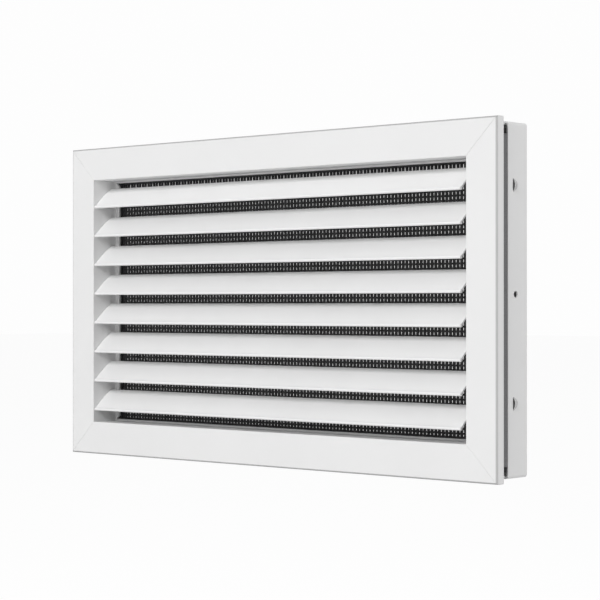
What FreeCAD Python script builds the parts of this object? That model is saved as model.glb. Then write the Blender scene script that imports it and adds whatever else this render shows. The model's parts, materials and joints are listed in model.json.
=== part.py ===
import FreeCAD, Part
import math
import os

from FreeCAD import Vector

# Cleanroom return air grille with a removable face, in millimetres.
# +X is to the right seen from the room, +Z is up, and the room is on the -Y side.
# The origin is the centre of the wall opening, in the plane of the wall's surface.
# Profiles are drawn in two measures: "inset" is the distance in from the face frame's
# outer edge, and "depth" is the distance back from the front of the face.

# Face frame
frame_width = 456.0
frame_height = 264.0
border = 27.6
plate = 1.6
flange_depth = 9.2
rim_wall = 2.6
rim_front_radius = 1.5
rim_rear_radius = 1.5
mouth_radius = 0.3
mitre_gap = 0.12
reveal_depth = 26.0
rail_lip_width = 1.4
jamb_lip_width = 4.4
lip_wall = 1.6
carrier_inset = 20.6
carrier_setback = 0.3

# Blades
blade_pitch = 25.0
blade_top_drop = 24.2
blade_bottom_clearance = 8.0
blade_setback = 1.0
blade_nose_radius = 1.3
blade_web = 1.3
blade_rear_depth = 21.0
blade_rise = 17.7
blade_start_angle = 48.0
blade_end_angle = 32.0
blade_fit = 0.15
blade_notch = 5.8
blade_notch_depth = 8.2
tab_front = 11.0
tab_rear = 18.0
tab_stand = 1.2
tab_clearance = 0.12

# Corner cleats
cleat_inset = 12.2
cleat_width = 8.0
cleat_arm = 30.0
cleat_thickness = 4.0
cleat_radius = 2.0

# Filter cassette
filter_gap = 0.3
filter_bar_width = 7.7
filter_bar_stand = 1.3
filter_bar_depth = 7.0
filter_bar_radius = 0.6
groove_depth = 2.6
groove_width = 1.2
groove_setback = 1.2
net_thickness = 0.8
net_edge_fit = 0.4
net_columns = 12
net_rows = 6
net_bar = 2.2

# Strips hooked through the carriers
hook_bend = 0.6
slot_clearance = 0.15

# Spring clips behind the cassette
clip_width = 16.0
clip_thickness = 0.8
clip_front = 18.6
clip_hook = 4.0
clip_reach = 6.6
clip_edge_distance = 115.0
clip_gap = 0.3

# Neck: the mounting frame folded from sheet
neck_inset = 2.7
neck_rear_stand = 6.9
sheet = 1.2
tab_bend = 1.3
fold_bend = 0.4
side_front_depth = 17.2
top_front_depth = 4.0
front_fold = 7.3
rear_fold = 17.0
corner_tab = 14.0
corner_clearance = 0.1
fold_gap = 0.4
fold_relief = 1.0

# Features of the neck's side walls
screw_radius = 2.4
screw_depth = 26.8
side_pattern_offset = 4.2
top_screw_edge_distance = 88.0
scoop_edge_distance = 52.8
scoop_depth = 23.6
scoop_half_height = 5.3
scoop_out = 2.4
scoop_length = 5.9
scoop_wall = 0.8

# Leaf springs that hold the face in the neck
spring_width = 11.0
spring_thickness = 0.6
spring_front = 3.4
spring_hook = 4.0
spring_foot = 8.6
spring_ramp = 13.5
spring_tail = 8.0
spring_tail_return = 6.0
spring_bend = 1.2
spring_wall_gap = 0.35

# Foam strips
foam_inset = 3.8
foam_width = 7.7
foam_end_gap = 6.5
foam_fold_gap = 0.3

# Rivets through the neck's corner tabs
rivet_radius = 1.6
rivet_head_radius = 3.0
rivet_head_height = 0.8
rivet_tail = 0.8
rivet_clearance = 0.05
neck_rivet_inset = 8.0
neck_rivet_depth = 28.0

# Derived sizes
half_width = frame_width / 2
half_height = frame_height / 2
mouth_half_width = half_width - border
mouth_half_height = half_height - border
lip_back = reveal_depth + lip_wall
filter_front = lip_back + filter_gap
filter_back = filter_front + filter_bar_depth
filter_inset = border + rail_lip_width + filter_bar_stand - filter_bar_width
filter_side_width = filter_bar_width + jamb_lip_width - rail_lip_width
carrier_depth = filter_back - carrier_setback
neck_depth = filter_back + neck_rear_stand
carrier_inner_inset = carrier_inset + plate
neck_half_width = half_width - neck_inset
neck_half_height = half_height - neck_inset
neck_inner_inset = neck_inset + sheet
top_fold_edge = half_height - neck_inner_inset - sheet - fold_bend
blade_room = 2 * mouth_half_height - blade_top_drop - blade_bottom_clearance
blade_count = 1 + int(blade_room / blade_pitch)
scoop_heights = {
    "upper": side_pattern_offset + half_height - scoop_edge_distance,
    "lower": side_pattern_offset - half_height + scoop_edge_distance,
}

os.makedirs("parts", exist_ok=True)


def save(name, shape):
    """Write one node, with coplanar faces merged."""
    shape.removeSplitter().exportStep("parts/" + name + ".step")


def y_at(depth):
    """Depth behind the front of the face, as a Y position."""
    return depth - flange_depth


def box(x0, x1, y0, y1, z0, z1):
    """Box between two corners."""
    return Part.makeBox(x1 - x0, y1 - y0, z1 - z0, Vector(x0, y0, z0))


def in_section(point):
    """Profile point (inset, depth) in the plane across a top rail."""
    return Vector(0, point[1] - flange_depth, -point[0])


def in_elevation(point):
    """Profile point (x, z) in the plane of the wall."""
    return Vector(point[0], 0, point[1])


def in_plan(point):
    """Profile point (x, y) in the horizontal plane."""
    return Vector(point[0], point[1], 0)


def rounded_face(points, place):
    """Flat face from corners (a, b) or (a, b, radius), with arcs at the rounded ones."""
    corners = [(place(p), p[2] if len(p) > 2 else 0.0) for p in points]
    starts = []
    ends = []
    edges = []
    for i, (corner, radius) in enumerate(corners):
        if radius == 0.0:
            starts.append(corner)
            ends.append(corner)
            edges.append(None)
            continue
        back = (corners[i - 1][0] - corner).normalize()
        ahead = (corners[(i + 1) % len(corners)][0] - corner).normalize()
        half_angle = back.getAngle(ahead) / 2
        reach = radius / math.tan(half_angle)
        bisector = (back + ahead).normalize()
        start = corner + back * reach
        end = corner + ahead * reach
        middle = corner + bisector * (radius / math.sin(half_angle) - radius)
        starts.append(start)
        ends.append(end)
        edges.append(Part.Arc(start, middle, end).toShape())
    outline = []
    for i, edge in enumerate(edges):
        if edge:
            outline.append(edge)
        after = starts[(i + 1) % len(starts)]
        if (after - ends[i]).Length > 1e-6:
            outline.append(Part.makeLine(ends[i], after))
    return Part.Face(Part.Wire(outline))


def strip_outline(points, thickness):
    """Closed outline of a bent strip: a line of (a, b) or (a, b, bend), and its left side.

    A bend is the inner radius at that corner, whichever way the strip turns there.
    """
    directions = []
    for start, end in zip(points, points[1:]):
        length = math.hypot(end[0] - start[0], end[1] - start[1])
        directions.append(((end[0] - start[0]) / length, (end[1] - start[1]) / length))
    near = []
    far = []
    for i, point in enumerate(points):
        before = directions[max(i - 1, 0)]
        after = directions[min(i, len(directions) - 1)]
        normal = (-before[1] - after[1], before[0] + after[0])
        spread = thickness / (normal[1] * after[0] - normal[0] * after[1])
        turn = before[0] * after[1] - before[1] * after[0]
        bend = point[2] if len(point) > 2 else 0.0
        near_radius = bend + thickness if bend and turn > 0 else bend
        far_radius = bend + thickness if bend and turn < 0 else bend
        near.append((point[0], point[1], near_radius))
        far.append((point[0] + normal[0] * spread, point[1] + normal[1] * spread, far_radius))
    return near + far[::-1]


def along_x(face, x0, x1):
    """Sweep a section face along X."""
    face.translate(Vector(x0, 0, 0))
    return face.extrude(Vector(x1 - x0, 0, 0))


def along_y(face, y0, y1):
    """Sweep an elevation face along Y."""
    face.translate(Vector(0, y0, 0))
    return face.extrude(Vector(0, y1 - y0, 0))


def along_z(face, z0, z1):
    """Sweep a plan face along Z."""
    face.translate(Vector(0, 0, z0))
    return face.extrude(Vector(0, 0, z1 - z0))


def turned(shape, angle):
    """Copy of a shape turned about the Y axis."""
    copy = shape.copy()
    copy.rotate(Vector(0, 0, 0), Vector(0, 1, 0), angle)
    return copy


def moved(shape, x=0.0, y=0.0, z=0.0):
    """Copy of a shape moved by a vector."""
    copy = shape.copy()
    copy.translate(Vector(x, y, z))
    return copy


def mirrored(shape, normal):
    """Copy of a shape mirrored in a plane through the origin."""
    return shape.mirror(Vector(0, 0, 0), normal)


def four_corners(shape):
    """A shape of the top right corner, and its mirror images in the other three."""
    other = mirrored(shape, Vector(1, 0, 0))
    pair = [shape, other]
    return pair + [mirrored(one, Vector(0, 0, 1)) for one in pair]


def rod(start, direction, length, radius):
    """Round bar from a point along a direction."""
    return Part.makeCylinder(radius, length, start, direction)


def hooked_strip(front, hook, beyond, thickness, width):
    """Sheet strip hooked through a slot in a carrier, for a rail with its edge on Z = 0.

    From the hook inside the carrier it passes forwards and out through the slot, then
    back along the carrier's outer face to the points beyond.
    """
    line = [
        (carrier_inner_inset, front + hook),
        (carrier_inner_inset, front, hook_bend),
        (carrier_inset, front, hook_bend),
    ]
    face = rounded_face(strip_outline(line + beyond, thickness), in_section)
    return along_x(face, -width / 2, width / 2)


def hook_slot(front, thickness, width):
    """Slot in a carrier for a hooked strip, for a rail with its edge on Z = 0."""
    half = width / 2 + slot_clearance
    return box(-half, half, y_at(front - thickness - slot_clearance), y_at(front + hook_bend),
               -carrier_inner_inset - 1, -carrier_inset + 1)


def rivet(start, direction, grip):
    """Blind rivet: a flat head outside the grip, and a shank that stands out inside it."""
    shank = rod(start, direction, grip + rivet_tail, rivet_radius - rivet_clearance)
    head = rod(start, direction * -1, rivet_head_height, rivet_head_radius)
    return shank.fuse(head)


# Face frame: four lengths of one extruded profile, mitred at the corners

def frame_profile(lip_width):
    """Section of the extrusion: rim, face plate, reveal with its lip, and filter carrier."""
    lip_inset = border + lip_width
    return rounded_face([
        (0.0, 0.0, rim_front_radius),
        (border, 0.0, mouth_radius),
        (border, reveal_depth),
        (lip_inset, reveal_depth),
        (lip_inset, lip_back),
        (border - plate, lip_back),
        (border - plate, plate),
        (carrier_inner_inset, plate),
        (carrier_inner_inset, carrier_depth),
        (carrier_inset, carrier_depth),
        (carrier_inset, plate),
        (rim_wall, plate),
        (rim_wall, flange_depth),
        (0.0, flange_depth, rim_rear_radius),
    ], in_section)


def mitred_rail(length, lip_width):
    """Rail with its outer edge on Z = 0, cut back at 45 degrees at both ends."""
    rail = along_x(frame_profile(lip_width), -length / 2, length / 2)
    half = length / 2 - mitre_gap / 2
    inner = border + lip_width + 1.0
    cut = rounded_face([(-half, 0), (half, 0), (half - inner, -inner), (-half + inner, -inner)],
                       in_elevation)
    return rail.common(along_y(cut, y_at(-1.0), y_at(carrier_depth + 1.0)))


def blade_nose_heights():
    """Height of the underside of each blade's nose, from the top blade down."""
    first = mouth_half_height - blade_top_drop
    return [first - i * blade_pitch for i in range(blade_count)]


def blade_arc(offset):
    """Centre, radius and end angles of the blade's curved web, moved out by an offset."""
    half_turn = math.radians(blade_start_angle - blade_end_angle) / 2
    slope = math.radians(blade_start_angle + blade_end_angle) / 2
    nose = (blade_setback + blade_nose_radius, blade_nose_radius)
    reach = blade_rear_depth - nose[0]
    chord = reach / math.cos(slope)
    radius = chord / (2 * math.sin(half_turn))
    middle = (nose[0] + math.cos(slope) * chord / 2, nose[1] + math.sin(slope) * chord / 2)
    drop = radius * math.cos(half_turn)
    centre = (middle[0] + math.sin(slope) * drop, middle[1] - math.cos(slope) * drop)
    return centre, radius + offset, slope, half_turn


def blade_point(offset, share):
    """Point of the web at a share of its length, as (depth, height)."""
    centre, radius, slope, half_turn = blade_arc(offset)
    angle = math.pi / 2 + slope + half_turn * (1 - 2 * share)
    return centre[0] + radius * math.cos(angle), centre[1] + radius * math.sin(angle)


def web_face(margin):
    """Section of the blade's web, from nose to rear edge, in the plane x = 0."""
    half = blade_web / 2 + margin

    def at(offset, share):
        depth, height = blade_point(offset, share)
        return Vector(0, y_at(depth), height)

    top = Part.Arc(at(half, 0), at(half, 0.5), at(half, 1)).toShape()
    rear = Part.makeLine(at(half, 1), at(-half, 1))
    under = Part.Arc(at(-half, 1), at(-half, 0.5), at(-half, 0)).toShape()
    front = Part.makeLine(at(-half, 0), at(half, 0))
    return Part.Face(Part.Wire([top, rear, under, front]))


def blade():
    """One louvre blade with its nose's underside at Z = 0."""
    reach = mouth_half_width - blade_fit
    web = along_x(web_face(0.0), -reach, reach)
    nose_centre = Vector(-reach, y_at(blade_setback + blade_nose_radius), blade_nose_radius)
    nose = rod(nose_centre, Vector(1, 0, 0), 2 * reach, blade_nose_radius)
    rear_depth, rear_height = blade_point(0.0, 1.0)
    rear_centre = Vector(-reach, y_at(rear_depth), rear_height)
    rear = rod(rear_centre, Vector(1, 0, 0), 2 * reach, blade_web / 2)
    notch = box(mouth_half_width - blade_notch, half_width, y_at(0), y_at(blade_notch_depth),
                -1, blade_rise + 1)
    tab_reach = mouth_half_width + plate + tab_stand
    tab_zone = box(-tab_reach, tab_reach, y_at(tab_front), y_at(tab_rear), 0, blade_rise)
    tabs = along_x(web_face(0.0), -tab_reach, tab_reach).common(tab_zone)
    return web.fuse([nose, rear]).cut(notch).fuse(tabs)


def blade_slots():
    """Slots for the tabs of all blades, long enough to cut both jambs' reveals."""
    reach = half_width
    margin = tab_clearance
    zone = box(-reach, reach, y_at(tab_front - margin), y_at(tab_rear + margin),
               -blade_rise, 2 * blade_rise)
    zone = zone.cut(box(-mouth_half_width + 1, mouth_half_width - 1, y_at(0), y_at(carrier_depth),
                        -blade_rise, 2 * blade_rise))
    zone = zone.cut(box(-reach, -half_width + carrier_inner_inset, y_at(0), y_at(carrier_depth),
                        -blade_rise, 2 * blade_rise))
    zone = zone.cut(box(half_width - carrier_inner_inset, reach, y_at(0), y_at(carrier_depth),
                        -blade_rise, 2 * blade_rise))
    slot = along_x(web_face(margin), -reach, reach).common(zone)
    return [moved(slot, z=height) for height in blade_nose_heights()]


def spring_slot():
    """Slot for one leaf spring, for a rail with its edge on Z = 0."""
    return hook_slot(spring_front, spring_thickness, spring_width)


def clip_slots():
    """Slots for the two filter clips of the top rail."""
    slot = hook_slot(clip_front, clip_thickness, clip_width)
    return [moved(slot, x=x, z=half_height) for x in clip_positions()]


def clip_positions():
    """X positions of the two clips on a rail."""
    offset = half_width - clip_edge_distance
    return [-offset, offset]


def face_frame():
    """Top and bottom rails and the two jambs."""
    rail = moved(mitred_rail(frame_width, rail_lip_width), z=half_height).cut(clip_slots())
    save("frame_top_rail", rail)
    save("frame_bottom_rail", turned(rail, 180))
    jamb = moved(mitred_rail(frame_height, jamb_lip_width), z=half_width)
    spring_cut = moved(spring_slot(), z=half_width)
    for name, angle in (("frame_right_jamb", 90), ("frame_left_jamb", -90)):
        cuts = [moved(turned(spring_cut, angle), z=height) for height in scoop_heights.values()]
        save(name, turned(jamb, angle).cut(blade_slots() + cuts))


def blades():
    """The fixed louvre blades, numbered from the top."""
    first = blade()
    for number, height in enumerate(blade_nose_heights(), start=1):
        save("blade_%d" % number, moved(first, z=height))


def corner_cleats():
    """Flat corner angles behind the face plate, one in each corner."""
    a = half_width - cleat_inset
    c = half_height - cleat_inset
    outline = [
        (a, c, cleat_radius),
        (a, c - cleat_arm),
        (a - cleat_width, c - cleat_arm),
        (a - cleat_width, c - cleat_width),
        (a - cleat_arm, c - cleat_width),
        (a - cleat_arm, c),
    ]
    cleat = along_y(rounded_face(outline, in_elevation), y_at(plate), y_at(plate + cleat_thickness))
    names = ("top_right", "top_left", "bottom_right", "bottom_left")
    for name, copy in zip(names, four_corners(cleat)):
        save("corner_cleat_" + name, copy)


# Filter cassette: four grooved bars round a net

def filter_bar_profile(width):
    """Section of a bar, grooved on its inner side for the net's edge."""
    groove_front = filter_front + groove_setback
    inner = filter_inset + width
    return rounded_face([
        (filter_inset, filter_front),
        (inner, filter_front, filter_bar_radius),
        (inner, groove_front),
        (inner - groove_depth, groove_front),
        (inner - groove_depth, groove_front + groove_width),
        (inner, groove_front + groove_width),
        (inner, filter_back, filter_bar_radius),
        (filter_inset, filter_back),
    ], in_section)


def filter_bars():
    """The cassette's bars: full-length top and bottom, sides between them."""
    long_half = half_width - filter_inset
    short_half = half_height - filter_inset - filter_bar_width
    top = along_x(filter_bar_profile(filter_bar_width), -long_half, long_half)
    top = moved(top, z=half_height)
    side = along_x(filter_bar_profile(filter_side_width), -short_half, short_half)
    side = moved(side, z=half_width)
    save("filter_top_bar", top)
    save("filter_bottom_bar", turned(top, 180))
    save("filter_right_bar", turned(side, 90))
    save("filter_left_bar", turned(side, -90))


def filter_net():
    """The net with its hemmed edge, at a coarse pitch of open cells."""
    inner_x = half_width - filter_inset - filter_side_width
    inner_z = half_height - filter_inset - filter_bar_width
    tuck = groove_depth - net_edge_fit
    middle = filter_front + groove_setback + groove_width / 2
    front = y_at(middle - net_thickness / 2)
    back = y_at(middle + net_thickness / 2)
    net = box(-inner_x - tuck, inner_x + tuck, front, back, -inner_z - tuck, inner_z + tuck)
    pitch_x = 2 * inner_x / net_columns
    pitch_z = 2 * inner_z / net_rows
    half_x = (pitch_x - net_bar) / 2
    half_z = (pitch_z - net_bar) / 2
    cells = []
    for column in range(net_columns):
        for row in range(net_rows):
            x = (column + 0.5) * pitch_x - inner_x
            z = (row + 0.5) * pitch_z - inner_z
            cells.append(box(x - half_x, x + half_x, front - 1, back + 1, z - half_z, z + half_z))
    save("filter_net", net.cut(cells))


def filter_clips():
    """Clips hooked through the top and bottom carriers and turned in behind the cassette."""
    rear = filter_back + clip_gap
    beyond = [(carrier_inset, rear, hook_bend), (carrier_inset + clip_reach, rear)]
    clip = hooked_strip(clip_front, clip_hook, beyond, clip_thickness, clip_width)
    for x, side in zip(clip_positions(), ("left", "right")):
        top = moved(clip, x=x, z=half_height)
        save("filter_clip_top_" + side, top)
        save("filter_clip_bottom_" + side, mirrored(top, Vector(0, 0, 1)))


# Leaf springs on the jambs

def leaf_springs():
    """Bowed leaves hooked through the jambs' carriers, which press on the neck's walls."""
    foot_end = spring_front + spring_foot
    nose_depth = foot_end + spring_ramp
    nose_inset = neck_inner_inset + spring_wall_gap + spring_thickness / 2
    beyond = [
        (carrier_inset, foot_end, spring_bend),
        (nose_inset, nose_depth, spring_bend),
        (nose_inset + spring_tail_return, nose_depth + spring_tail),
    ]
    leaf = hooked_strip(spring_front, spring_hook, beyond, spring_thickness, spring_width)
    leaf = moved(leaf, z=half_width)
    for side, angle in (("right", 90), ("left", -90)):
        for level, height in scoop_heights.items():
            save("leaf_spring_" + side + "_" + level, moved(turned(leaf, angle), z=height))


# Foam strips between the face and the neck

def foam_strip(front, back, half_length):
    """Foam strip behind the face plate, with its outer edge on Z = 0."""
    face = rounded_face([
        (foam_inset, front),
        (foam_inset + foam_width, front),
        (foam_inset + foam_width, back),
        (foam_inset, back),
    ], in_section)
    return along_x(face, -half_length, half_length)


def foam_strips():
    """Deep strips at the sides, thin ones at the top and bottom."""
    side_half = half_height - neck_inner_inset - sheet - foam_end_gap
    top_half = half_width - cleat_inset
    side = moved(foam_strip(plate, side_front_depth - foam_fold_gap, side_half), z=half_width)
    top = moved(foam_strip(plate, top_front_depth - foam_fold_gap, top_half), z=half_height)
    save("foam_right_strip", turned(side, 90))
    save("foam_left_strip", turned(side, -90))
    save("foam_top_strip", top)
    save("foam_bottom_strip", turned(top, 180))


# Neck: two side walls with bent corner tabs, and a top and a bottom wall under the tabs

def hood(half_height_, out, length, floor):
    """Arched hood rising from x = 0, upright at y = 0, sloping down to the rear, down to a floor."""
    slope = math.atan2(out, length)
    rise = out * math.cos(slope)
    radius = (half_height_ ** 2 + rise ** 2) / (2 * rise)
    along = Vector(-math.sin(slope), math.cos(slope), 0)
    start = Vector(out - radius / math.cos(slope), 0, 0) - along * radius
    reach = length * (out - floor) / out + 1
    barrel = rod(start, along, 2 * (radius + reach), radius)
    return barrel.common(box(floor, out + 1, 0, reach, -radius, radius))


def scoop():
    """Hood pressed out of the right side wall, open towards the front, and its hollow."""
    outer = hood(scoop_half_height, scoop_out, scoop_length, 0.0)
    hollow = hood(scoop_half_height - scoop_wall, scoop_out - scoop_wall,
                  scoop_length - scoop_wall, -sheet - 1)
    return [moved(shape, neck_half_width, y_at(scoop_depth)) for shape in (outer, hollow)]


def side_wall():
    """Right side wall of the neck, with tabs bent over the top and bottom walls."""
    w = neck_half_width
    h = neck_half_height
    rear = y_at(neck_depth)
    line = [(w - corner_tab, -h), (w, -h, tab_bend), (w, h, tab_bend), (w - corner_tab, h)]
    face = rounded_face(strip_outline(line, sheet), in_elevation)
    wall = along_y(face, y_at(side_front_depth), rear)
    fold_line = [(w, rear - rear_fold), (w, rear, fold_bend), (w - rear_fold, rear)]
    fold_face = rounded_face(strip_outline(fold_line, sheet), in_plan)
    fold_half = top_fold_edge - fold_gap
    fold = along_z(fold_face, -fold_half, fold_half)
    wall = wall.common(box(-w, w, 0, rear - fold_relief, -h, h))
    wall = wall.fuse(fold)
    screw_start = Vector(w - sheet - 1, y_at(screw_depth), side_pattern_offset)
    wall = wall.cut(rod(screw_start, Vector(1, 0, 0), sheet + 2, screw_radius))
    outer, hollow = scoop()
    for height in scoop_heights.values():
        wall = wall.fuse(moved(outer, z=height)).cut(moved(hollow, z=height))
    return wall


def top_wall():
    """Top wall of the neck, folded in at front and rear, under the side walls' tabs."""
    inset = neck_inner_inset
    half = neck_half_width - sheet - tab_bend - corner_clearance
    line = [
        (inset + rear_fold, neck_depth),
        (inset, neck_depth, fold_bend),
        (inset, top_front_depth, fold_bend),
        (inset + front_fold, top_front_depth),
    ]
    face = rounded_face(strip_outline(line, sheet), in_section)
    wall = moved(along_x(face, -half, half), z=half_height)
    fold_end = neck_half_width - rear_fold - fold_gap
    notch = box(fold_end, half_width, y_at(neck_depth / 2), y_at(neck_depth + 1),
                half_height - inset - rear_fold - 1, top_fold_edge)
    wall = wall.cut([notch, mirrored(notch, Vector(1, 0, 0))])
    for side in (-1, 1):
        x = side * (half_width - top_screw_edge_distance)
        start = Vector(x, y_at(screw_depth), half_height - inset + 1)
        wall = wall.cut(rod(start, Vector(0, 0, -1), sheet + 2, screw_radius))
    return wall


def neck():
    """The four walls of the mounting frame and their rivets."""
    side = side_wall()
    top = top_wall()
    start = Vector(neck_half_width - neck_rivet_inset, y_at(neck_rivet_depth), neck_half_height)
    hole = rod(start + Vector(0, 0, 1), Vector(0, 0, -1), 2 * sheet + 2, rivet_radius)
    pin = rivet(start, Vector(0, 0, -1), 2 * sheet)
    holes = four_corners(hole)
    bottom = mirrored(top, Vector(0, 0, 1))
    save("neck_right_wall", side.cut(holes))
    save("neck_left_wall", mirrored(side, Vector(1, 0, 0)).cut(holes))
    save("neck_top_wall", top.cut(holes))
    save("neck_bottom_wall", bottom.cut(holes))
    save("neck_rivets", Part.makeCompound(four_corners(pin)))


face_frame()
blades()
corner_cleats()
filter_bars()
filter_net()
filter_clips()
leaf_springs()
foam_strips()
neck()
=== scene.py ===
import json
import math

import bmesh
import bpy
from mathutils import Matrix, Vector, noise

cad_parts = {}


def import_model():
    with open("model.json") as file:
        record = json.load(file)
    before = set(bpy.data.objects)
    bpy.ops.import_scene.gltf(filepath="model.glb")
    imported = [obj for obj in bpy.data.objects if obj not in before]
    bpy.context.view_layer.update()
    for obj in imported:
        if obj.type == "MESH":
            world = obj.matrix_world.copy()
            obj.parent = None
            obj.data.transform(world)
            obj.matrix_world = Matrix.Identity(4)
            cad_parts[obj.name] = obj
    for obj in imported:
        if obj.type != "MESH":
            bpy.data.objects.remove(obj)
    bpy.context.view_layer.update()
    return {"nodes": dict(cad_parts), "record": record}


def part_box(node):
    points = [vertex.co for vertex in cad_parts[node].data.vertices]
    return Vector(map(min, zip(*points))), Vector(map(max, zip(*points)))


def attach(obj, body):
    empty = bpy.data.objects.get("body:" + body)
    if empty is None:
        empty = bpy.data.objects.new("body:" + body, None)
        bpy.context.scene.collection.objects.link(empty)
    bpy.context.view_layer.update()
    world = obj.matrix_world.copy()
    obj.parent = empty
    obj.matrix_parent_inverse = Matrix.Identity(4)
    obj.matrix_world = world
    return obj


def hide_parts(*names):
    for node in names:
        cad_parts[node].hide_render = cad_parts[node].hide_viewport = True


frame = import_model()
scene = bpy.context.scene
nodes = frame["nodes"]

# A return air grille: materials for its solids, a finer net, foam and rivets, light and camera.
# Everything is in metres, in the frame of the solids: +X right, +Z up, the room at -Y.
MM = 0.001

# Camera: angles in degrees, the azimuth to the right of straight before the face
VIEW_AZIMUTH = 41.8
VIEW_ELEVATION = -0.17
VIEW_DISTANCE = 1.467
VIEW_TARGET = Vector((0.03936, -0.0092, 0.0004))
VIEW_END = 100.0
FOCAL_PIXELS = 1879.4
IMAGE_SIZE = 600.0
SENSOR = 36.0

# Paint: its colours, and painted shade on the front corner of the rim and on the hoods
WHITE = (0.80, 0.80, 0.80)
# The blades' white is lighter than the frame's same paint: painted light for the light the blades lack
BLADE_WHITE_WITH_PAINTED_LIGHT = (0.86, 0.86, 0.86)
NECK_WHITE = (0.79, 0.79, 0.79)
EDGE_PAINTED_SHADE = 0.52
EDGE_SHADE_REACH = 0.95 * MM
EDGE_SHADE_END = 1.6 * EDGE_SHADE_REACH
HOOD_PAINTED_SHADE = 0.70
HOOD_HEIGHT = 2.4 * MM
HOOD_SHADE_START = 0.05 * MM
HOOD_SHADE_END = 0.4 * MM

# Plain metals, plastics and foam
CLEAT_COLOUR = (0.72, 0.73, 0.74)
SPRING_COLOUR = (0.62, 0.62, 0.62)
RIVET_COLOUR = (0.78, 0.78, 0.79)
BAR_COLOUR = (0.015, 0.015, 0.016)
NET_COLOUR = (0.014, 0.014, 0.015)
FOAM_COLOUR = (0.18, 0.18, 0.184)

# Net
NET_PITCH_X = 3.476 * MM
NET_PITCH_Z = 3.624 * MM
NET_START_X = 0.56 * MM
NET_START_Z = 2.1 * MM
NET_TOP_MARGIN = 2.4 * MM
UPRIGHT_HALF_WIDTH = 1.41 * MM
LEVEL_HALF_WIDTH = 0.82 * MM
STRAND_HALF_DEPTH = 0.45 * MM
STRAND_WAVE = 0.12 * MM
STRAND_SIDES = 6

# Foam
FOAM_STEP = 3.0 * MM
FOAM_ROUNDING = 0.5 * MM
FOAM_RIPPLE = 0.12 * MM
FOAM_RIPPLE_SCALE = 90.0
FOAM_BULGE = 0.9 * MM
FOAM_SWELL = 0.2 * MM

# Rivets, in millimetres: radius and height from the solid's top, from the stem round to the end
RIVET_SIDES = 28
RIVET_HEAD_RADIUS = 3.0
RIVET_SHANK_RADIUS = 1.55
RIVET_LENGTH = 4.0
RIVET_STEM = [(0.0, -0.35), (0.75, -0.35), (0.80, -0.02)]
RIVET_DOME = [(0.95, 0.0), (1.5, -0.06), (2.1, -0.20), (2.6, -0.42), (2.9, -0.62)]
RIVET_RIM = [(RIVET_HEAD_RADIUS, -0.72), (RIVET_HEAD_RADIUS, -0.80)]
RIVET_SHANK = [(RIVET_SHANK_RADIUS, -0.80), (RIVET_SHANK_RADIUS, -3.6)]
RIVET_END = [(1.70, -3.8), (RIVET_SHANK_RADIUS, -RIVET_LENGTH), (0.0, -RIVET_LENGTH)]
RIVET_PROFILE = RIVET_STEM + RIVET_DOME + RIVET_RIM + RIVET_SHANK + RIVET_END

# Floor and world
FLOOR_HEIGHT = -0.60
FLOOR_SIZE = 30.0
FLOOR_CELLS = 8
FLOOR_WHITE = (0.80, 0.80, 0.80, 1.0)
FLOOR_GLOW = 1.10
FLOOR_GLOW_SHARE = 0.85
WORLD_LIGHT = 0.27
BACKDROP_LIGHT = 0.985
LIGHT_WHITE = (1.0, 1.0, 1.0, 1.0)

# Lamps: a level is what the lamp adds to a white surface that faces it
KEY_PLACE = Vector((1.0, -5.5, 2.9))
KEY_SIZE = 2.2
KEY_LEVEL = 0.62
FILL_PLACE = Vector((0.9, -5.6, 0.3))
FILL_SIZE = 2.4
FILL_LEVEL = 0.10
SIDE_PLACE = Vector((4.2, 0.9, 0.8))
SIDE_SIZE = 2.0
SIDE_LEVEL = 0.30


# Node helpers

def maths(tree, operation, first, second=0.0):
    """One sum on sockets or numbers."""
    node = tree.nodes.new("ShaderNodeMath")
    node.operation = operation
    for socket, value in zip(node.inputs, (first, second)):
        if isinstance(value, (int, float)):
            socket.default_value = value
        else:
            tree.links.new(value, socket)
    return node.outputs["Value"]


def show_mix(tree, output_kind, factor, first, second):
    """Show a mix of two shaders on the tree's output."""
    output = tree.nodes.new(output_kind)
    mix = tree.nodes.new("ShaderNodeMixShader")
    tree.links.new(factor, mix.inputs["Fac"])
    tree.links.new(first, mix.inputs[1])
    tree.links.new(second, mix.inputs[2])
    tree.links.new(mix.outputs["Shader"], output.inputs["Surface"])


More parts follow.
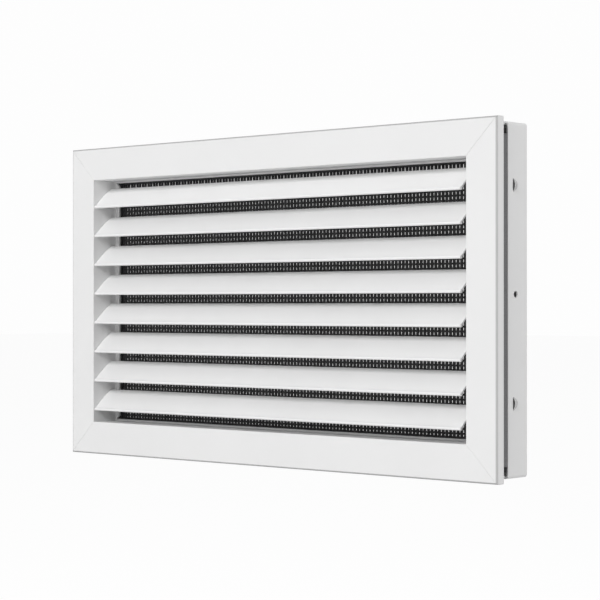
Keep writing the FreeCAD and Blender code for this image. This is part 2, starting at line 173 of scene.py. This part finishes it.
class Shader:
    """A material's node tree, with short calls for the nodes that it uses."""

    def __init__(self, name, colour, roughness, metallic=0.0, specular=0.5):
        self.material = bpy.data.materials.new(name)
        self.material.use_nodes = True
        self.tree = self.material.node_tree
        self.principled = self.tree.nodes["Principled BSDF"]
        self.principled.inputs["Base Color"].default_value = (*colour, 1.0)
        self.principled.inputs["Roughness"].default_value = roughness
        self.principled.inputs["Metallic"].default_value = metallic
        self.principled.inputs["Specular IOR Level"].default_value = specular
        self.place = self.tree.nodes.new("ShaderNodeTexCoord").outputs["Object"]

    def stretched(self, scale):
        """The object's own coordinates, scaled apart along each axis."""
        mapping = self.tree.nodes.new("ShaderNodeMapping")
        mapping.inputs["Scale"].default_value = scale
        self.tree.links.new(self.place, mapping.inputs["Vector"])
        return mapping.outputs["Vector"]

    def noise(self, scale, detail=3.0, place=None):
        """Cloudy noise, scale in cells a metre."""
        texture = self.tree.nodes.new("ShaderNodeTexNoise")
        texture.inputs["Scale"].default_value = scale
        texture.inputs["Detail"].default_value = detail
        self.tree.links.new(place or self.place, texture.inputs["Vector"])
        return texture.outputs["Fac"]

    def cells(self, scale):
        """Distance from the middle of random cells, scale in cells a metre."""
        texture = self.tree.nodes.new("ShaderNodeTexVoronoi")
        texture.inputs["Scale"].default_value = scale
        self.tree.links.new(self.place, texture.inputs["Vector"])
        return texture.outputs["Distance"]

    def between(self, value, low, high, start=0.3, end=0.7):
        """Two numbers blended by a value, from its start to its end."""
        spread = self.tree.nodes.new("ShaderNodeMapRange")
        spread.inputs["From Min"].default_value = start
        spread.inputs["From Max"].default_value = end
        spread.inputs["To Min"].default_value = low
        spread.inputs["To Max"].default_value = high
        self.tree.links.new(value, spread.inputs["Value"])
        return spread.outputs["Result"]

    def mixed(self, factor, first, second):
        """A colour or a colour's socket, mixed with a second colour."""
        mix = self.tree.nodes.new("ShaderNodeMix")
        mix.data_type = "RGBA"
        if isinstance(first, tuple):
            mix.inputs["A"].default_value = (*first, 1.0)
        else:
            self.tree.links.new(first, mix.inputs["A"])
        mix.inputs["B"].default_value = (*second, 1.0)
        self.tree.links.new(factor, mix.inputs["Factor"])
        return mix.outputs["Result"]

    def axes(self):
        """The object's own coordinates, one socket for each axis."""
        split = self.tree.nodes.new("ShaderNodeSeparateXYZ")
        self.tree.links.new(self.place, split.inputs["Vector"])
        return split.outputs

    def hood_shade_mask(self, half_width):
        """1 on what stands out of the side walls, 0 on the walls; the mask of the hoods' painted shade.
        """
        from_middle = maths(self.tree, "ABSOLUTE", self.axes()["X"])
        out = maths(self.tree, "SUBTRACT", from_middle, half_width)
        return self.between(out, 0.0, 1.0, HOOD_SHADE_START, HOOD_SHADE_END)

    def rim_shade_mask(self, half_width, half_height, front):
        """1 along the front corner of a box's outline, 0 away from it; the mask of the rim's painted
        shade.
        """
        axes = self.axes()
        across = maths(self.tree, "SUBTRACT", half_width, maths(self.tree, "ABSOLUTE", axes["X"]))
        down = maths(self.tree, "SUBTRACT", half_height, maths(self.tree, "ABSOLUTE", axes["Z"]))
        inward = maths(self.tree, "MINIMUM", across, down)
        back = maths(self.tree, "SUBTRACT", axes["Y"], front)
        distance = maths(self.tree, "ADD", inward, back)
        return self.between(distance, 1.0, 0.0, EDGE_SHADE_REACH, EDGE_SHADE_END)

    def set(self, name, value):
        """Feed one of the shader's inputs."""
        self.tree.links.new(value, self.principled.inputs[name])

    def bump(self, value, strength, distance, normal=None):
        """Bump from a height, over an optional normal."""
        bump = self.tree.nodes.new("ShaderNodeBump")
        bump.inputs["Strength"].default_value = strength
        bump.inputs["Distance"].default_value = distance
        self.tree.links.new(value, bump.inputs["Height"])
        if normal:
            self.tree.links.new(normal, bump.inputs["Normal"])
        return bump.outputs["Normal"]

    def soft_edges(self, radius):
        """Normal that rounds the solid's sharp edges."""
        bevel = self.tree.nodes.new("ShaderNodeBevel")
        bevel.samples = 4
        bevel.inputs["Radius"].default_value = radius
        return bevel.outputs["Normal"]


def scaled(colour, factor):
    return tuple(c * factor for c in colour)


# Materials

def powder_coat(name, colour, rim=None, wall=None):
    """Satin powder coat with fine orange peel and slight clouding.

    rim is half the rim's width, half its height and its front; wall is the place of the
    side walls. Its edge and what stands out of the walls are darkened with painted shade.
    """
    s = Shader(name, colour, roughness=0.45)
    cloud = s.between(s.noise(scale=9.0), 0.0, 1.0)
    shade = s.mixed(cloud, scaled(colour, 0.985), scaled(colour, 1.01))
    if rim:
        # Painted shade along the rim's rounded front corner
        shade = s.mixed(s.rim_shade_mask(*rim), shade, scaled(colour, EDGE_PAINTED_SHADE))
    if wall:
        # Painted shade on the hoods that stand out of the side walls
        shade = s.mixed(s.hood_shade_mask(wall), shade, scaled(colour, HOOD_PAINTED_SHADE))
    s.set("Base Color", shade)
    s.set("Roughness", s.between(s.noise(scale=35.0), 0.40, 0.52))
    peel = s.noise(scale=700.0, detail=2.0)
    s.set("Normal", s.bump(peel, strength=0.10, distance=0.12 * MM, normal=s.soft_edges(0.35 * MM)))
    return s.material


def brushed(name, colour, roughness, grain):
    """Bare metal with a grain along one axis and cloudy handling marks."""
    s = Shader(name, colour, roughness, metallic=1.0)
    lines = s.noise(scale=1.0, detail=4.0, place=s.stretched(grain))
    marks = s.between(s.noise(scale=60.0), 0.0, 1.0)
    s.set("Base Color", s.mixed(marks, scaled(colour, 0.88), scaled(colour, 1.04)))
    s.set("Roughness", s.between(s.noise(scale=80.0), roughness - 0.07, roughness + 0.10))
    s.set("Normal", s.bump(lines, strength=0.25, distance=0.06 * MM, normal=s.soft_edges(0.15 * MM)))
    return s.material


def plastic(name, colour, roughness, grain):
    """Matte moulded or woven plastic with a fine grain and a little dust."""
    s = Shader(name, colour, roughness)
    dust = s.between(s.noise(scale=45.0, detail=5.0), 0.0, 1.0, start=0.45, end=0.75)
    s.set("Base Color", s.mixed(dust, colour, scaled(colour, 1.9)))
    s.set("Roughness", s.between(s.noise(scale=140.0), roughness - 0.08, roughness + 0.10))
    s.set("Normal", s.bump(s.noise(scale=grain, detail=2.0), strength=0.20, distance=0.08 * MM))
    return s.material


def closed_cell(name, colour):
    """Closed-cell foam: small pores over a slightly cloudy grey."""
    s = Shader(name, colour, roughness=0.92, specular=0.25)
    pores = s.cells(scale=1400.0)
    shade = s.between(pores, 0.0, 1.0, start=0.05, end=0.65)
    s.set("Base Color", s.mixed(shade, scaled(colour, 0.75), scaled(colour, 1.12)))
    s.set("Roughness", s.between(s.noise(scale=200.0), 0.86, 0.97))
    s.set("Normal", s.bump(pores, strength=0.55, distance=0.25 * MM))
    return s.material


rim_low, rim_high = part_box("frame_top_rail")
wall_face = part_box("neck_right_wall")[1].x - HOOD_HEIGHT
MATERIALS = {
    "frame_paint": powder_coat("frame_paint", WHITE, rim=(rim_high.x, rim_high.z, rim_low.y)),
    "blade_paint": powder_coat("blade_paint", BLADE_WHITE_WITH_PAINTED_LIGHT),
    "neck_paint": powder_coat("neck_paint", NECK_WHITE, wall=wall_face),
    "cleat_metal": brushed("cleat_metal", CLEAT_COLOUR, roughness=0.42, grain=(60.0, 900.0, 900.0)),
    "spring_steel": brushed("spring_steel", SPRING_COLOUR, roughness=0.28, grain=(900.0, 60.0, 900.0)),
    "rivet_metal": brushed("rivet_metal", RIVET_COLOUR, roughness=0.38, grain=(700.0, 700.0, 700.0)),
    "filter_bar": plastic("filter_bar", BAR_COLOUR, roughness=0.55, grain=2200.0),
    "filter_net": plastic("filter_net", NET_COLOUR, roughness=0.60, grain=4500.0),
    "foam": closed_cell("foam", FOAM_COLOUR),
}

for part in frame["record"]["subparts"]:
    mesh = nodes[part["node"]].data
    mesh.materials.clear()
    mesh.materials.append(MATERIALS[part["material_slot"]])


# New pieces

def smooth_mesh(bm, name):
    """A finished bmesh as a smoothly shaded mesh."""
    for face in bm.faces:
        face.smooth = True
    mesh = bpy.data.meshes.new(name)
    bm.to_mesh(mesh)
    bm.free()
    return mesh


def piece(name, mesh, slot, body, *replaced):
    """Finish a new piece: its material, the body it rides on and the nodes it stands for."""
    mesh.materials.append(MATERIALS[slot])
    obj = bpy.data.objects.new(name, mesh)
    scene.collection.objects.link(obj)
    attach(obj, body)
    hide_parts(*replaced)
    return obj


# Net: strands that cross over and under each other inside the bars' grooves

def strand(bm, points, across, through, half_width):
    """Flattened strand along a line of points, with closed ends."""
    spread = half_width / math.cos(math.pi / STRAND_SIDES)
    rings = []
    for point in points:
        ring = []
        for side in range(STRAND_SIDES):
            angle = 2 * math.pi * (side + 0.5) / STRAND_SIDES
            offset = across * math.cos(angle) * spread
            offset = offset + through * math.sin(angle) * STRAND_HALF_DEPTH
            ring.append(bm.verts.new(point + offset))
        rings.append(ring)
    for one, other in zip(rings, rings[1:]):
        for i in range(STRAND_SIDES):
            j = (i + 1) % STRAND_SIDES
            bm.faces.new((one[i], one[j], other[j], other[i]))
    bm.faces.new(rings[0][::-1])
    bm.faces.new(rings[-1])


def strand_places(low, high, start, pitch, half_width):
    """Places at a pitch from a start, as far as a strand fits between two ends."""
    first = math.ceil((low + half_width - start) / pitch)
    last = math.floor((high - half_width - start) / pitch)
    return [start + pitch * i for i in range(first, last + 1)]


def woven_net():
    """The net, without the level strand just under the top bar's edge."""
    low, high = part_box("filter_net")
    middle = (low + high) / 2
    xs = strand_places(low.x, high.x, NET_START_X, NET_PITCH_X, UPRIGHT_HALF_WIDTH)
    zs = strand_places(low.z, high.z, NET_START_Z, NET_PITCH_Z, LEVEL_HALF_WIDTH)
    bar_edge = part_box("filter_top_bar")[0].z
    zs = [z for z in zs if not bar_edge - NET_TOP_MARGIN < z < bar_edge]
    right = Vector((1, 0, 0))
    back = Vector((0, 1, 0))
    up = Vector((0, 0, 1))
    bm = bmesh.new()
    for i, x in enumerate(xs):
        points = [Vector((x, middle.y, low.z))]
        for k, z in enumerate(zs):
            points.append(Vector((x, middle.y + STRAND_WAVE * (-1) ** (i + k), z)))
        points.append(Vector((x, middle.y, high.z)))
        strand(bm, points, right, back, UPRIGHT_HALF_WIDTH)
    for k, z in enumerate(zs):
        points = [Vector((low.x, middle.y, z))]
        for i, x in enumerate(xs):
            points.append(Vector((x, middle.y - STRAND_WAVE * (-1) ** (i + k), z)))
        points.append(Vector((high.x, middle.y, z)))
        strand(bm, points, up, back, LEVEL_HALF_WIDTH)
    bmesh.ops.recalc_face_normals(bm, faces=bm.faces)
    return piece("woven_net", smooth_mesh(bm, "woven_net"), "filter_net", "face", "filter_net")


woven_net()


# Foam: strips with rounded edges and a slight ripple; those at the sides swell past their solids

def cut_across(bm, axis, share):
    """Cut a unit cube's faces at a share of its length along an axis."""
    normal = Vector([1.0 if axis == a else 0.0 for a in range(3)])
    place = normal * (share - 0.5)
    geometry = bm.verts[:] + bm.edges[:] + bm.faces[:]
    bmesh.ops.bisect_plane(bm, geom=geometry, plane_co=place, plane_no=normal)


def foam_piece(name, node, outward=0):
    """Foam strip; one at a side swells outwards and back to the neck wall's front edge."""
    low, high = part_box(node)
    if outward > 0:
        high.x += FOAM_BULGE
    if outward < 0:
        low.x -= FOAM_BULGE
    if outward:
        high.y += FOAM_SWELL
    size = high - low
    middle = (low + high) / 2
    long_axis = max(range(3), key=lambda axis: size[axis])
    bm = bmesh.new()
    bmesh.ops.create_cube(bm, size=1.0)
    for axis in range(3):
        steps = max(2, round(size[axis] / FOAM_STEP))
        for i in range(1, steps):
            cut_across(bm, axis, i / steps)
        if axis != long_axis:
            for edge in (FOAM_ROUNDING, size[axis] - FOAM_ROUNDING):
                cut_across(bm, axis, edge / size[axis])
    for vert in bm.verts:
        point = Vector([middle[a] + vert.co[a] * size[a] for a in range(3)])
        inner = Vector([
            min(max(point[a], low[a] + FOAM_ROUNDING), high[a] - FOAM_ROUNDING) for a in range(3)
        ])
        away = point - inner
        if away.length > 0:
            ripple = FOAM_RIPPLE * (0.5 + 0.5 * noise.noise(point * FOAM_RIPPLE_SCALE))
            point = inner + away.normalized() * (FOAM_ROUNDING - ripple)
        vert.co = point
    obj = piece(name, smooth_mesh(bm, name), "foam", "face", node)
    return obj


for side, outward in (("top", 0), ("bottom", 0), ("left", -1), ("right", 1)):
    foam_piece("foam_seal_" + side, "foam_%s_strip" % side, outward)


# Rivets: domed heads with the broken stem sunk in the middle

def rivet(bm, x, y, top, side):
    """Turn the rivet's profile about an upright line; side is 1 at the top, -1 at the bottom."""
    rings = []
    for radius, height in RIVET_PROFILE:
        z = side * (top + height * MM)
        if radius == 0.0:
            rings.append([bm.verts.new((x, y, z))])
            continue
        ring = []
        for i in range(RIVET_SIDES):
            angle = 2 * math.pi * i / RIVET_SIDES
            ring.append(bm.verts.new((
                x + math.cos(angle) * radius * MM,
                y + math.sin(angle) * radius * MM,
                z,
            )))
        rings.append(ring)
    for one, other in zip(rings, rings[1:]):
        for i in range(RIVET_SIDES):
            j = (i + 1) % RIVET_SIDES
            corners = [one[i % len(one)], one[j % len(one)]]
            corners += [other[j % len(other)], other[i % len(other)]]
            bm.faces.new(list(dict.fromkeys(corners)))


def rivet_pieces():
    """The four rivets of the neck, two at each end."""
    low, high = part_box("neck_rivets")
    reach_x = high.x - RIVET_HEAD_RADIUS * MM
    y = (low.y + high.y) / 2
    bm = bmesh.new()
    for side_x in (-1, 1):
        for side_z in (-1, 1):
            rivet(bm, side_x * reach_x, y, high.z, side_z)
    bmesh.ops.recalc_face_normals(bm, faces=bm.faces)
    return piece("blind_rivets", smooth_mesh(bm, "blind_rivets"), "rivet_metal", "neck", "neck_rivets")


rivet_pieces()


# Floor, backdrop light and lamps

def floor():
    """Pale floor that takes shadows and glows for the camera, to match the backdrop."""
    bm = bmesh.new()
    bmesh.ops.create_grid(bm, x_segments=FLOOR_CELLS, y_segments=FLOOR_CELLS, size=FLOOR_SIZE)
    mesh = bpy.data.meshes.new("floor")
    bm.to_mesh(mesh)
    bm.free()
    obj = bpy.data.objects.new("floor", mesh)
    obj.location = (0, 0, FLOOR_HEIGHT)
    scene.collection.objects.link(obj)
    material = bpy.data.materials.new("floor")
    material.use_nodes = True
    tree = material.node_tree
    tree.nodes.clear()
    rays = tree.nodes.new("ShaderNodeLightPath").outputs
    diffuse = tree.nodes.new("ShaderNodeBsdfDiffuse")
    diffuse.inputs["Color"].default_value = FLOOR_WHITE
    glow = tree.nodes.new("ShaderNodeEmission")
    glow.inputs["Color"].default_value = LIGHT_WHITE
    glow.inputs["Strength"].default_value = FLOOR_GLOW
    share = maths(tree, "MULTIPLY", rays["Is Camera Ray"], FLOOR_GLOW_SHARE)
    show_mix(tree, "ShaderNodeOutputMaterial", share, diffuse.outputs["BSDF"], glow.outputs["Emission"])
    mesh.materials.append(material)


floor()


def world():
    """Even light from all round, with a brighter backdrop where it is seen or mirrored."""
    scene.world = bpy.data.worlds.new("world")
    scene.world.use_nodes = True
    tree = scene.world.node_tree
    tree.nodes.clear()
    rays = tree.nodes.new("ShaderNodeLightPath").outputs
    seen = maths(tree, "MAXIMUM", rays["Is Camera Ray"], rays["Is Glossy Ray"])
    seen = maths(tree, "MAXIMUM", seen, rays["Is Transmission Ray"])
    shown = []
    for strength in (WORLD_LIGHT, BACKDROP_LIGHT):
        background = tree.nodes.new("ShaderNodeBackground")
        background.inputs["Color"].default_value = LIGHT_WHITE
        background.inputs["Strength"].default_value = strength
        shown.append(background.outputs["Background"])
    show_mix(tree, "ShaderNodeOutputWorld", seen, *shown)


world()


def lamp(name, place, size, level):
    """Square soft lamp, aimed at the middle of the part."""
    data = bpy.data.lights.new(name, "AREA")
    data.shape = "SQUARE"
    data.size = size
    data.energy = level * math.pi ** 2 * place.length_squared
    obj = bpy.data.objects.new(name, data)
    obj.location = place
    obj.rotation_euler = (-place).to_track_quat("-Z", "Y").to_euler()
    scene.collection.objects.link(obj)


lamp("key", KEY_PLACE, KEY_SIZE, KEY_LEVEL)
lamp("fill", FILL_PLACE, FILL_SIZE, FILL_LEVEL)
lamp("side", SIDE_PLACE, SIDE_SIZE, SIDE_LEVEL)


def camera():
    """Camera at a distance from its target, which stands in the middle of the picture."""
    azimuth = math.radians(VIEW_AZIMUTH)
    elevation = math.radians(VIEW_ELEVATION)
    away = Vector((
        math.sin(azimuth) * math.cos(elevation),
        -math.cos(azimuth) * math.cos(elevation),
        math.sin(elevation),
    ))
    data = bpy.data.cameras.new("camera")
    data.sensor_width = SENSOR
    data.lens = FOCAL_PIXELS / IMAGE_SIZE * SENSOR
    data.clip_end = VIEW_END
    obj = bpy.data.objects.new("camera", data)
    turn = (-away).to_track_quat("-Z", "Y").to_matrix().to_4x4()
    obj.matrix_world = Matrix.Translation(VIEW_TARGET + away * VIEW_DISTANCE) @ turn
    scene.collection.objects.link(obj)
    scene.camera = obj


camera()
scene.view_settings.view_transform = "Standard"
